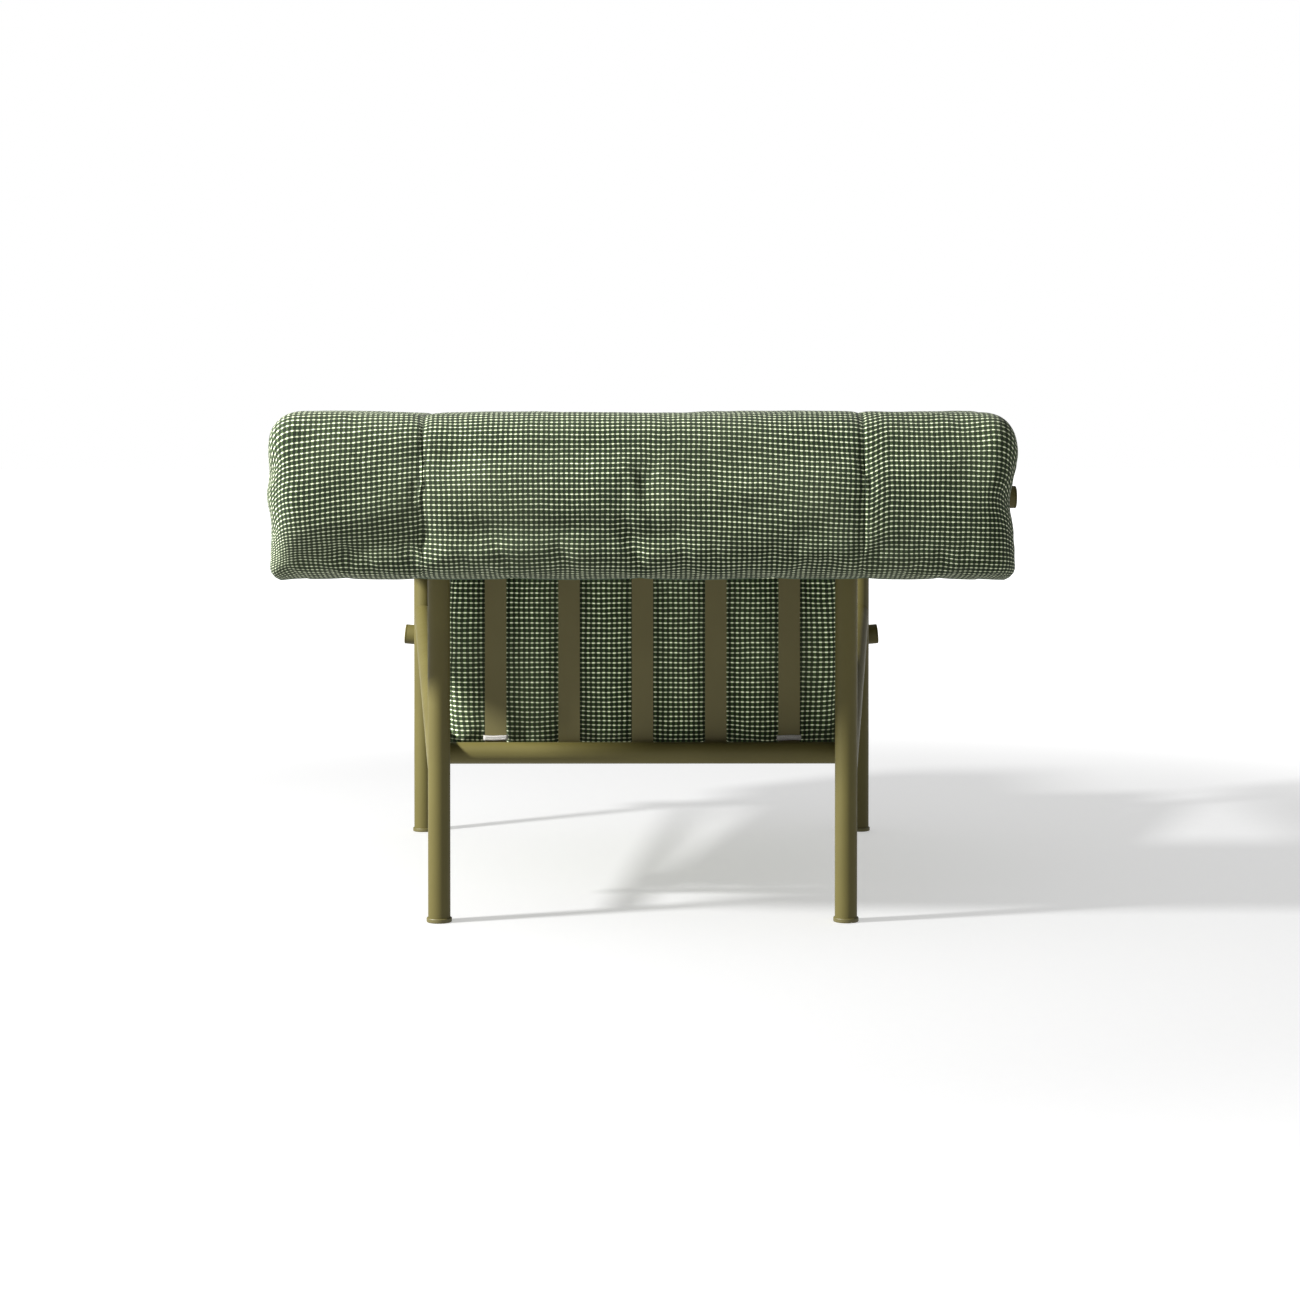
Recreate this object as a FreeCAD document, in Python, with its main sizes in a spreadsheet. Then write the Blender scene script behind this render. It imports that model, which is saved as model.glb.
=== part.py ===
"""Outdoor lounge armchair: a welded tube frame with flat slats and quilts folded over the rails.

Millimetres, +Z up, the chair faces +Y. The origin is on the floor, under the middle of the
chair's overall box. Lengths in Y are given from the plane of the two rear legs.
"""
import FreeCAD, Part
import math
import os
import Sketcher

Vector = FreeCAD.Vector
Rotation = FreeCAD.Rotation
Placement = FreeCAD.Placement

X_AXIS = Vector(1, 0, 0)
Y_AXIS = Vector(0, 1, 0)
Z_AXIS = Vector(0, 0, 1)

# alias: (millimetres or degrees, what it is)
SIZES = {
    "tube_dia": (30.0, "outside diameter of every frame tube"),
    "tube_wall": (2.0, "wall of every tube"),
    "rear_leg_x": (273.0, "rear leg axis from the middle"),
    "front_leg_x": (357.0, "front leg axis from the middle"),
    "leg_gap": (780.0, "front leg plane from the rear leg plane"),
    "rail_height": (570.0, "axis height of the top rail and the arm rails"),
    "top_rail_half": (497.0, "half length of the top rail"),
    "side_rail_rear": (205.0, "side rail axis height at the rear leg"),
    "side_rail_front": (358.0, "side rail axis height at the front leg"),
    "cross_rail_y": (132.0, "rear cross rail and back rail, in front of the rear legs"),
    "cross_rail_height": (210.0, "axis height of the rear cross rail"),
    "bar_dia": (32.0, "outside diameter of the bowed front bar"),
    "bar_end_height": (320.0, "axis height of the front bar at its ends"),
    "bar_end_tilt": (5.0, "degrees that the front bar rises at its ends"),
    "bar_overhang": (14.0, "front bar beyond the outside of the front leg"),
    "slat_width": (30.0, "flat slat across"),
    "slat_thick": (5.0, "flat slat through"),
    "slat_pitch": (102.5, "slat to slat"),
    "slat_corner": (190.0, "height where the back run and the seat run would meet"),
    "slat_bend": (30.0, "bend radius on the slat's middle line"),
    "slat_above": (12.0, "slat end above the axis of the back rail"),
    "foot_lip": (2.0, "foot flange beyond the tube, all round"),
    "foot_height": (6.0, "foot flange height"),
    "cap_height": (3.0, "end cap thickness outside the tube"),
    "spigot": (14.0, "length of a foot or cap inside its tube"),
    "edge_round": (1.2, "rounding on caps and feet"),
    "back_half": (484.0, "half width of the back quilt"),
    "back_top": (684.0, "top of the back quilt"),
    "arm_top": (672.0, "top of the arm quilts"),
    "flap_bottom": (467.0, "bottom of the hanging quilt flaps"),
    "cushion_bottom": (229.0, "bottom of the back cushion, in front of the slats"),
    "cushion_top": (662.0, "top of the back cushion"),
    "cushion_half": (272.0, "half width of the back cushion"),
    "quilt_rear": (130.0, "back quilt behind the rear leg plane"),
    "quilt_thick": (100.0, "thickness of the quilts against the frame"),
    "arm_front": (838.0, "front of the arm quilts, in front of the rear leg plane"),
    "seat_thick": (132.0, "seat cushion thickness"),
    "seat_side_gap": (3.0, "seat cushion to each arm quilt"),
    "strap_thick": (2.0, "webbing thickness"),
    "strap_width": (7.5, "webbing width"),
    "weld_gap": (0.1, "gap left for a weld between metal pieces"),
    "fit_gap": (0.15, "spigot to tube, on the radius"),
    "soft_gap": (0.5, "quilt to its neighbours"),
}

SLAT_NAMES = ["slat_1", "slat_2", "slat_3", "slat_4", "slat_5"]
STRAPPED_SLATS = [0, 4]
SIDES = {"left": -1, "right": 1}
SAME_RADIUS = 1e-6
ROUND_SHARE = 0.4

doc = FreeCAD.newDocument("lounge_armchair")
sheet = doc.addObject("Spreadsheet::Sheet", "Sizes")
for row, (alias, (number, note)) in enumerate(SIZES.items(), start=1):
    sheet.set(f"A{row}", note)
    sheet.set(f"B{row}", str(number))
    sheet.setAlias(f"B{row}", alias)
doc.recompute()


def size(alias):
    """The number that a sheet cell holds."""
    return float(sheet.get(alias))


# Places that several pieces share, worked out from the sheet.
TUBE_R = size("tube_dia") / 2
BAR_R = size("bar_dia") / 2
REAR_Y = (size("quilt_rear") - size("arm_front")) / 2
FRONT_Y = REAR_Y + size("leg_gap")
CROSS_Y = REAR_Y + size("cross_rail_y")
BAR_Y = FRONT_Y + TUBE_R + BAR_R + size("weld_gap")
RAIL_Z = size("rail_height")
LEG_FLOOR = size("foot_height")
SLAT_MID_Y = CROSS_Y + TUBE_R + size("weld_gap") + size("slat_thick") / 2
SLAT_FRONT_Y = SLAT_MID_Y + size("slat_thick") / 2
SLAT_TOP = RAIL_Z + size("slat_above")
BAR_HALF = size("front_leg_x") + TUBE_R + size("bar_overhang")
BAR_BOW_R = BAR_HALF / math.sin(math.radians(size("bar_end_tilt")))
CUSHION_REAR_Y = SLAT_FRONT_Y + size("strap_thick") + 2 * size("soft_gap")
CUSHION_FRONT_Y = CUSHION_REAR_Y + size("quilt_thick")
QUILT_END_Y = CUSHION_REAR_Y - size("soft_gap")
ROOF_Z = RAIL_Z + TUBE_R + size("soft_gap")
ARM_INNER_X = size("front_leg_x") - TUBE_R - size("soft_gap") - size("quilt_thick")
ARM_OUTER_X = size("front_leg_x") + TUBE_R + size("soft_gap") + size("quilt_thick")


def bar_axis_height(x):
    """Axis height of the bowed front bar at a distance x from the middle."""
    end_drop = BAR_BOW_R * math.cos(math.radians(size("bar_end_tilt")))
    centre_z = size("bar_end_height") + end_drop
    return centre_z - math.sqrt(BAR_BOW_R ** 2 - x ** 2)


def along(start, end):
    """Placement that puts local Z on the line from start to end."""
    return Placement(start, Rotation(Z_AXIS, end - start))


def plane(body, role):
    """One of a body's own origin planes."""
    for feature in body.Origin.OriginFeatures:
        if feature.Role == role:
            return feature
    raise ValueError(role)


def new_sketch(body, role, offset=0.0):
    """An empty sketch on one of the body's origin planes, moved along the plane's normal."""
    sketch = body.newObject("Sketcher::SketchObject", body.Name + "_sketch")
    sketch.AttachmentSupport = [(plane(body, role), "")]
    sketch.MapMode = "FlatFace"
    sketch.AttachmentOffset = Placement(Vector(0, 0, offset), Rotation())
    return sketch


def add_circle(sketch, diameter):
    """A circle on the sketch's origin whose diameter is an expression."""
    index = sketch.addGeometry(Part.Circle(Vector(0, 0, 0), Z_AXIS, TUBE_R), False)
    sketch.addConstraint(Sketcher.Constraint("Coincident", index, 3, -1, 1))
    row = sketch.addConstraint(Sketcher.Constraint("Diameter", index, 2 * TUBE_R))
    sketch.setExpression(f"Constraints[{row}]", diameter)


def add_outline(sketch, corners):
    """A closed outline of straight lines through the corners."""
    first = sketch.GeometryCount
    points = [Vector(a, b, 0) for a, b in corners]
    for index, point in enumerate(points):
        following = points[(index + 1) % len(points)]
        sketch.addGeometry(Part.LineSegment(point, following), False)
    count = len(points)
    for index in range(count):
        joint = Sketcher.Constraint("Coincident", first + index, 2, first + (index + 1) % count, 1)
        sketch.addConstraint(joint)


def rectangle(low_a, low_b, high_a, high_b):
    """The four corners of an upright rectangle."""
    return [(low_a, low_b), (high_a, low_b), (high_a, high_b), (low_a, high_b)]


def pad(body, sketch, length, midplane=False, reverse=False):
    """Pad a sketch. The length is a number or an expression."""
    feature = body.newObject("PartDesign::Pad", body.Name + "_pad")
    feature.Profile = sketch
    feature.Midplane = midplane
    feature.Reversed = reverse
    if isinstance(length, str):
        feature.setExpression("Length", length)
    else:
        feature.Length = length
    return feature


def new_body(name):
    """An empty PartDesign body with its own label."""
    body = doc.addObject("PartDesign::Body", name)
    body.Label = name
    return body


def ring_tube(name, length, outer="Sizes.tube_dia"):
    """A straight tube along Z."""
    body = new_body(name)
    sketch = new_sketch(body, "XY_Plane")
    add_circle(sketch, outer)
    add_circle(sketch, f"{outer} - 2 * Sizes.tube_wall")
    pad(body, sketch, length)
    return body


def rod(name, radius, start, end):
    """A plain cylinder used to cut a saddle."""
    cylinder = doc.addObject("Part::Cylinder", name)
    cylinder.setExpression("Radius", radius)
    cylinder.Height = (end - start).Length
    cylinder.Placement = along(start, end)
    return cylinder


def cut(name, base, tool):
    """Base minus tool, as a document object."""
    feature = doc.addObject("Part::Cut", name)
    feature.Base = base
    feature.Tool = tool
    feature.Label = name
    return feature


def coped_tube(name, start, end, mates):
    """A tube from axis point to axis point, with a saddle cut for each mating tube's axis line."""
    piece = ring_tube(name + "_blank", (end - start).Length)
    piece.Placement = along(start, end)
    for index, (mate_start, mate_end) in enumerate(mates):
        saddle_name = f"{name}_saddle_{index}"
        saddle = rod(saddle_name, "Sizes.tube_dia / 2 + Sizes.weld_gap", mate_start, mate_end)
        last = index == len(mates) - 1
        piece = cut(name if last else f"{name}_cut_{index}", piece, saddle)
    return piece


def is_circle(edge):
    """True for a whole or partial circular edge."""
    return isinstance(edge.Curve, Part.Circle)


def rim_edges(shape):
    """Names of a shape's widest circular edges."""
    radii = {number: edge.Curve.Radius for number, edge in enumerate(shape.Edges, start=1)
             if is_circle(edge)}
    widest = max(radii.values())
    return [f"Edge{number}" for number, radius in radii.items() if radius > widest - SAME_RADIUS]


def cap(name, rim_dia, rim_height, place, tube="Sizes.tube_dia"):
    """A rim with a spigot above it that fills a tube's end, revolved round Z."""
    body = new_body(name)
    sketch = new_sketch(body, "XY_Plane")
    add_circle(sketch, rim_dia)
    pad(body, sketch, rim_height)
    spigot_sketch = new_sketch(body, "XY_Plane")
    add_circle(spigot_sketch, f"{tube} - 2 * Sizes.tube_wall - 2 * Sizes.fit_gap")
    pad(body, spigot_sketch, f"{rim_height} + Sizes.spigot")
    doc.recompute()
    rims = rim_edges(body.Shape)
    whole = body.Tip
    rounding = body.newObject("PartDesign::Fillet", name + "_rounding")
    rounding.Base = (whole, rims)
    rounding.setExpression("Radius", f"min(Sizes.edge_round; ({rim_height}) * {ROUND_SHARE})")
    body.Placement = place
    return body


# ---------------------------------------------------------------- frame tubes

TOP_RAIL = (
    Vector(-size("top_rail_half"), REAR_Y, RAIL_Z),
    Vector(size("top_rail_half"), REAR_Y, RAIL_Z),
)


def leg_axis(side, rear):
    """Axis line of a leg, from the top of its foot flange to the rail above."""
    x = SIDES[side] * (size("rear_leg_x") if rear else size("front_leg_x"))
    y = REAR_Y if rear else FRONT_Y
    return Vector(x, y, LEG_FLOOR), Vector(x, y, RAIL_Z)


def arm_axis(side):
    """Axis line of an arm rail, from the top rail to just past the front leg."""
    x = SIDES[side] * size("front_leg_x")
    return Vector(x, REAR_Y, RAIL_Z), Vector(x, FRONT_Y + TUBE_R, RAIL_Z)


def side_axis(side):
    """Axis line of a sloping side rail, from rear leg to front leg."""
    rear = Vector(SIDES[side] * size("rear_leg_x"), REAR_Y, size("side_rail_rear"))
    front = Vector(SIDES[side] * size("front_leg_x"), FRONT_Y, size("side_rail_front"))
    return rear, front


def side_point(side, y):
    """The point of a side rail's axis at a given Y."""
    rear, front = side_axis(side)
    return rear + (front - rear) * ((y - rear.y) / (front.y - rear.y))


def make_top_rail():
    """The long rail across the rear legs, with an end cap at each end."""
    rail = ring_tube("top_rail", "2 * Sizes.top_rail_half")
    rail.Placement = along(*TOP_RAIL)
    pieces = [rail]
    for side, sign in SIDES.items():
        tip = Vector(sign * (size("top_rail_half") + size("cap_height")), REAR_Y, RAIL_Z)
        place = along(tip, tip - X_AXIS * sign)
        pieces.append(cap(f"top_rail_cap_{side}", "Sizes.tube_dia", "Sizes.cap_height", place))
    return pieces


def make_legs():
    """Four legs with their feet. Rear legs meet the top rail, front legs meet the arm rails."""
    pieces = []
    for side in SIDES:
        for rear in (True, False):
            start, end = leg_axis(side, rear)
            name = f"{'rear' if rear else 'front'}_leg_{side}"
            mate = TOP_RAIL if rear else arm_axis(side)
            pieces.append(coped_tube(name, start, end, [mate]))
            floor = Vector(start.x, start.y, 0)
            foot = cap(name.replace("leg", "foot"), "Sizes.tube_dia + 2 * Sizes.foot_lip", "Sizes.foot_height",
                       along(floor, start))
            pieces.append(foot)
    return pieces


def make_arm_rails():
    """Arm rails over the front legs, butted to the top rail and capped in front."""
    pieces = []
    for side in SIDES:
        start, end = arm_axis(side)
        pieces.append(coped_tube(f"arm_rail_{side}", start, end, [TOP_RAIL]))
        tip = end + Y_AXIS * size("cap_height")
        pieces.append(cap(f"arm_rail_cap_{side}", "Sizes.tube_dia", "Sizes.cap_height",
                          along(tip, end)))
    return pieces


def make_side_rails():
    """Sloping rails between the rear and front legs."""
    pieces = []
    for side in SIDES:
        start, end = side_axis(side)
        mates = [leg_axis(side, True), leg_axis(side, False)]
        pieces.append(coped_tube(f"side_rail_{side}", start, end, mates))
    return pieces


def make_cross_rails():
    """The rear cross rail between the side rails, and the back rail between the arm rails."""
    lower = [Vector(side_point(side, CROSS_Y).x, CROSS_Y, size("cross_rail_height")) for side in SIDES]
    upper = [Vector(sign * size("front_leg_x"), CROSS_Y, RAIL_Z) for sign in SIDES.values()]
    side_mates = [side_axis(side) for side in SIDES]
    arm_mates = [arm_axis(side) for side in SIDES]
    return [coped_tube("rear_cross_rail", lower[0], lower[1], side_mates),
            coped_tube("back_rail", upper[0], upper[1], arm_mates)]


def make_front_bar():
    """The bowed bar across the front of the front legs: a ring turned about a far axis."""
    body = new_body("front_bar")
    sketch = new_sketch(body, "YZ_Plane")
    add_circle(sketch, "Sizes.bar_dia")
    add_circle(sketch, "Sizes.bar_dia - 2 * Sizes.tube_wall")
    bow_axis = sketch.addGeometry(
        Part.LineSegment(Vector(0, BAR_BOW_R, 0), Vector(BAR_R, BAR_BOW_R, 0)), True)
    sketch.addConstraint(Sketcher.Constraint("Horizontal", bow_axis))
    turn = body.newObject("PartDesign::Revolution", "front_bar_turn")
    turn.Profile = sketch
    turn.ReferenceAxis = (sketch, ["Axis0"])
    turn.Midplane = True
    turn.setExpression("Angle", "2 * Sizes.bar_end_tilt")
    body.Placement = Placement(Vector(0, BAR_Y, bar_axis_height(0)), Rotation())
    pieces = [body]
    for side, sign in SIDES.items():
        tilt = math.radians(size("bar_end_tilt"))
        outward = Vector(sign * math.cos(tilt), 0, math.sin(tilt))
        tip = Vector(sign * BAR_HALF, BAR_Y, bar_axis_height(BAR_HALF)) + outward * size("cap_height")
        place = along(tip, tip - outward)
        pieces.append(cap(f"front_bar_cap_{side}", "Sizes.bar_dia", "Sizes.cap_height", place,
                          "Sizes.bar_dia"))
    return pieces


# ---------------------------------------------------------------- slats

def slat_x(index):
    """Middle of a slat, from the first on the left."""
    return (index - (len(SLAT_NAMES) - 1) / 2) * size("slat_pitch")


def seat_run(x):
    """Corner and direction of a slat's seat run, whose outer edge lies on the bowed front bar."""
    corner = Vector(0, SLAT_MID_Y, size("slat_corner"))
    outer_edge = abs(x) + size("slat_width") / 2
    to_bar = Vector(0, BAR_Y, bar_axis_height(outer_edge)) - corner
    stand_off = BAR_R + size("weld_gap") + size("slat_thick") / 2
    angle = math.atan2(to_bar.z, to_bar.y) + math.asin(stand_off / to_bar.Length)
    return corner, Vector(0, math.cos(angle), math.sin(angle)), to_bar.Length


def make_slats():
    """Flat bars that run down the back, bend under the sitter and run forward to the front bar."""
    pieces = []
    for index, name in enumerate(SLAT_NAMES):
        corner, forward, reach = seat_run(slat_x(index))
        opening = math.acos(forward.z)
        tangent = size("slat_bend") / math.tan(opening / 2)
        down_end = corner + Z_AXIS * tangent
        seat_start = corner + forward * tangent
        centre = down_end + Y_AXIS * size("slat_bend")
        middle = centre + (corner - centre).normalize() * size("slat_bend")
        seat_end = corner + forward * (reach + size("slat_thick"))
        body = new_body(name)
        profile = new_sketch(body, "XY_Plane", SLAT_TOP)
        half_width = size("slat_width") / 2
        half_thick = size("slat_thick") / 2
        add_outline(profile, rectangle(-half_width, SLAT_MID_Y - half_thick,
                                       half_width, SLAT_MID_Y + half_thick))
        across = profile.addConstraint(Sketcher.Constraint("DistanceX", 0, 1, 0, 2, 2 * half_width))
        through = profile.addConstraint(Sketcher.Constraint("DistanceY", 1, 1, 1, 2, 2 * half_thick))
        profile.setExpression(f"Constraints[{across}]", "Sizes.slat_width")
        profile.setExpression(f"Constraints[{through}]", "Sizes.slat_thick")
        spine = new_sketch(body, "YZ_Plane")
        flat = [Vector(p.y, p.z, 0) for p in (down_end, middle, seat_start, seat_end)]
        spine.addGeometry(Part.LineSegment(Vector(SLAT_MID_Y, SLAT_TOP, 0), flat[0]), False)
        spine.addGeometry(Part.Arc(flat[0], flat[1], flat[2]), False)
        spine.addGeometry(Part.LineSegment(flat[2], flat[3]), False)
        pipe = body.newObject("PartDesign::AdditivePipe", name + "_pipe")
        pipe.Profile = profile
        pipe.Spine = (spine, [])
        body.Placement = Placement(Vector(slat_x(index), 0, 0), Rotation())
        pieces.append(body)
    return pieces


# ---------------------------------------------------------------- quilts, cushion and straps

def make_back_quilt():
    """The back quilt over the top rail: a rear flap, a roof, and a short front flap at each end."""
    body = new_body("back_quilt")
    rear = REAR_Y - size("quilt_rear")
    flap_inner = REAR_Y - TUBE_R - size("soft_gap")
    end_flap_inner = REAR_Y + TUBE_R + size("soft_gap")
    top = size("back_top")
    low = size("flap_bottom")
    fold = new_sketch(body, "YZ_Plane")
    add_outline(fold, [(rear, low), (flap_inner, low), (flap_inner, ROOF_Z),
                       (QUILT_END_Y, ROOF_Z), (QUILT_END_Y, top), (rear, top)])
    pad(body, fold, "2 * Sizes.back_half", midplane=True)
    end_flaps = new_sketch(body, "XZ_Plane", -end_flap_inner)
    inner = size("front_leg_x") + TUBE_R + size("soft_gap")
    outer = size("back_half")
    middle = (ROOF_Z + top) / 2
    add_outline(end_flaps, rectangle(inner, low, outer, middle))
    add_outline(end_flaps, rectangle(-outer, low, -inner, middle))
    pad(body, end_flaps, QUILT_END_Y - end_flap_inner, reverse=True)
    return [body]


def make_back_cushion():
    """The upright cushion between the arm quilts, in front of the slats."""
    body = new_body("back_cushion")
    sketch = new_sketch(body, "YZ_Plane")
    add_outline(sketch, rectangle(CUSHION_REAR_Y, size("cushion_bottom"),
                                  CUSHION_FRONT_Y, size("cushion_top")))
    pad(body, sketch, "2 * Sizes.cushion_half", midplane=True)
    return [body]


def make_arm_quilts():
    """An arm quilt on each arm rail, open below, notched round the back cushion."""
    pieces = []
    start = QUILT_END_Y + size("soft_gap")
    length = REAR_Y + size("arm_front") - start
    slot = TUBE_R + size("soft_gap")
    for side, sign in SIDES.items():
        body = new_body(f"arm_quilt_{side}")
        fold = new_sketch(body, "XZ_Plane", -start)
        low = size("flap_bottom")
        rail_x = size("front_leg_x")
        corners = [(ARM_OUTER_X, low), (ARM_OUTER_X, size("arm_top")), (ARM_INNER_X, size("arm_top")),
                   (ARM_INNER_X, low), (rail_x - slot, low), (rail_x - slot, ROOF_Z),
                   (rail_x + slot, ROOF_Z), (rail_x + slot, low)]
        add_outline(fold, [(sign * a, b) for a, b in corners])
        pad(body, fold, length, reverse=True)
        notch = new_sketch(body, "XY_Plane")
        notch_x = size("cushion_half") + size("soft_gap")
        notch_y = CUSHION_FRONT_Y + size("soft_gap")
        low_x, high_x = sorted((sign * (ARM_INNER_X - TUBE_R), sign * notch_x))
        add_outline(notch, rectangle(low_x, start - TUBE_R, high_x, notch_y))
        doc.recompute()
        whole = body.Shape.Volume
        pocket = body.newObject("PartDesign::Pocket", f"arm_quilt_notch_{side}")
        pocket.Profile = notch
        pocket.Type = "ThroughAll"
        pocket.Reversed = True
        doc.recompute()
        if body.Shape.Volume >= whole:
            raise ValueError(f"the notch of arm_quilt_{side} cut nothing")
        pieces.append(body)
    return pieces


def make_seat_cushion():
    """The loose seat cushion: it lies on the seat run of the slats, between the arm quilts."""
    corner, forward, _ = seat_run(slat_x(0))
    upward = Vector(0, -forward.z, forward.y)
    clear = size("slat_thick") / 2 + size("soft_gap")
    rear = CUSHION_FRONT_Y + size("soft_gap")
    front = REAR_Y + size("arm_front")

    def height(y, lift):
        base = corner + upward * lift
        return base.z + (y - base.y) * forward.z / forward.y

    top = clear + size("seat_thick")
    body = new_body("seat_cushion")
    sketch = new_sketch(body, "YZ_Plane")
    add_outline(sketch, [(rear, height(rear, clear)), (front, height(front, clear)),
                         (front, height(front, top)), (rear, height(rear, top))])
    pad(body, sketch, 2 * (ARM_INNER_X - size("seat_side_gap")), midplane=True)
    return [body]


def make_straps():
    """Webbing loops that tie the back cushion's lower edge to the two outer slats."""
    pieces = []
    gap = size("soft_gap") / 2
    thick = size("strap_thick")
    half_x = size("slat_width") / 2 + gap
    half_y = size("slat_thick") / 2 + gap
    lowest = size("cross_rail_height") + TUBE_R + size("soft_gap")
    for side, index in zip(SIDES, STRAPPED_SLATS):
        body = new_body(f"hem_strap_{side}")
        sketch = new_sketch(body, "XY_Plane", lowest)
        add_outline(sketch, rectangle(-half_x - thick, -half_y - thick, half_x + thick, half_y + thick))
        add_outline(sketch, rectangle(-half_x, -half_y, half_x, half_y))
        pad(body, sketch, "Sizes.strap_width")
        body.Placement = Placement(Vector(slat_x(index), SLAT_MID_Y, 0), Rotation())
        pieces.append(body)
    return pieces


# ---------------------------------------------------------------- build, check and export

pieces = (make_top_rail() + make_legs() + make_arm_rails() + make_side_rails() + make_cross_rails()
          + make_front_bar() + make_slats() + make_back_quilt() + make_back_cushion()
          + make_arm_quilts() + make_seat_cushion() + make_straps())
doc.recompute()

for item in doc.Objects:
    if "Invalid" in item.State or "Error" in item.State:
        raise ValueError(f"{item.Name} failed: {item.State}")
for piece in pieces:
    if piece.Shape.isNull() or not piece.Shape.isValid():
        raise ValueError(f"{piece.Label} has no valid shape")

os.makedirs("parts", exist_ok=True)
for piece in pieces:
    piece.Shape.exportStep(f"parts/{piece.Label}.step")
    box = piece.Shape.BoundBox
    print(f"{piece.Label:22s} solids {len(piece.Shape.Solids)} volume {piece.Shape.Volume / 1000:9.1f} cm3"
          f"  x {box.XMin:7.1f} {box.XMax:7.1f}  y {box.YMin:7.1f} {box.YMax:7.1f}"
          f"  z {box.ZMin:7.1f} {box.ZMax:7.1f}")
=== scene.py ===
import math

import bpy
import numpy as np
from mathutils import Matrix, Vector, noise


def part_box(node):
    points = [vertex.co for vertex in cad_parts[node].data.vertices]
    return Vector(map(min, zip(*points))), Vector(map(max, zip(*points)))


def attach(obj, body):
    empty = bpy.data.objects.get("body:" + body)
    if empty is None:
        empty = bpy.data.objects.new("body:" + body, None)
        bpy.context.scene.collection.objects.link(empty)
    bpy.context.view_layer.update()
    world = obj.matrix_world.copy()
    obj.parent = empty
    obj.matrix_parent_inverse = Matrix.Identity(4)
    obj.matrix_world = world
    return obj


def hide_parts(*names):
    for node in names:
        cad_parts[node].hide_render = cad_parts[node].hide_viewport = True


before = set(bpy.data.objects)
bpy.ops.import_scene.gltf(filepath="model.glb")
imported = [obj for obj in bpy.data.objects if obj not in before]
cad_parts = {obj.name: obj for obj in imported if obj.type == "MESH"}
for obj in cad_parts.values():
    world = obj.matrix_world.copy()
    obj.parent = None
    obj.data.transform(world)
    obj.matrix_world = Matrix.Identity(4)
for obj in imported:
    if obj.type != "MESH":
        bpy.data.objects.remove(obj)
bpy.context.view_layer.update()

MM = 0.001
scene = bpy.context.scene


# ---------------------------------------------------------------- node materials

class Nodes:
    """A short way to write a node material."""

    def __init__(self, name):
        self.material = bpy.data.materials.new(name)
        self.material.use_nodes = True
        self.tree = self.material.node_tree
        self.shader = self.tree.nodes["Principled BSDF"]

    def node(self, kind, inputs=(), **settings):
        """A new node, with its settings and its inputs by name or number."""
        made = self.tree.nodes.new(kind)
        for key, value in settings.items():
            setattr(made, key, value)
        for key, value in dict(inputs).items():
            self.put(made.inputs[key], value)
        return made

    def put(self, socket, value):
        """Links another node's output to the socket, or sets a plain value on it."""
        if isinstance(value, bpy.types.NodeSocket):
            self.tree.links.new(value, socket)
        else:
            socket.default_value = value

    def maths(self, operation, a, b=0.0):
        """The result of a maths node."""
        return self.node("ShaderNodeMath", {0: a, 1: b}, operation=operation).outputs[0]

    def smooth(self, value, start, end):
        """0 before start and 1 after end, smoothly between."""
        made = self.node("ShaderNodeMapRange", interpolation_type="SMOOTHSTEP")
        self.put(made.inputs["Value"], value)
        made.inputs["From Min"].default_value = start
        made.inputs["From Max"].default_value = end
        return made.outputs["Result"]

    def mix(self, amount, a, b):
        """Colour a where amount is 0, and b where it is 1."""
        made = self.node("ShaderNodeMix", data_type="RGBA", blend_type="MIX")
        self.put(made.inputs["Factor"], amount)
        self.put(made.inputs["A"], a)
        self.put(made.inputs["B"], b)
        return made.outputs["Result"]

    def noise(self, vector, scale, detail=3.0, rough=0.5):
        """Noise from about 0 to 1."""
        made = self.node("ShaderNodeTexNoise")
        self.put(made.inputs["Vector"], vector)
        made.inputs["Scale"].default_value = scale
        made.inputs["Detail"].default_value = detail
        made.inputs["Roughness"].default_value = rough
        return made.outputs["Fac"]

    def bump(self, height, distance, strength=1.0):
        """A normal for relief that is distance metres high."""
        made = self.node("ShaderNodeBump")
        self.put(made.inputs["Height"], height)
        made.inputs["Distance"].default_value = distance
        made.inputs["Strength"].default_value = strength
        return made.outputs["Normal"]


def grey(level):
    """An RGBA grey."""
    return (level, level, level, 1.0)


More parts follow.
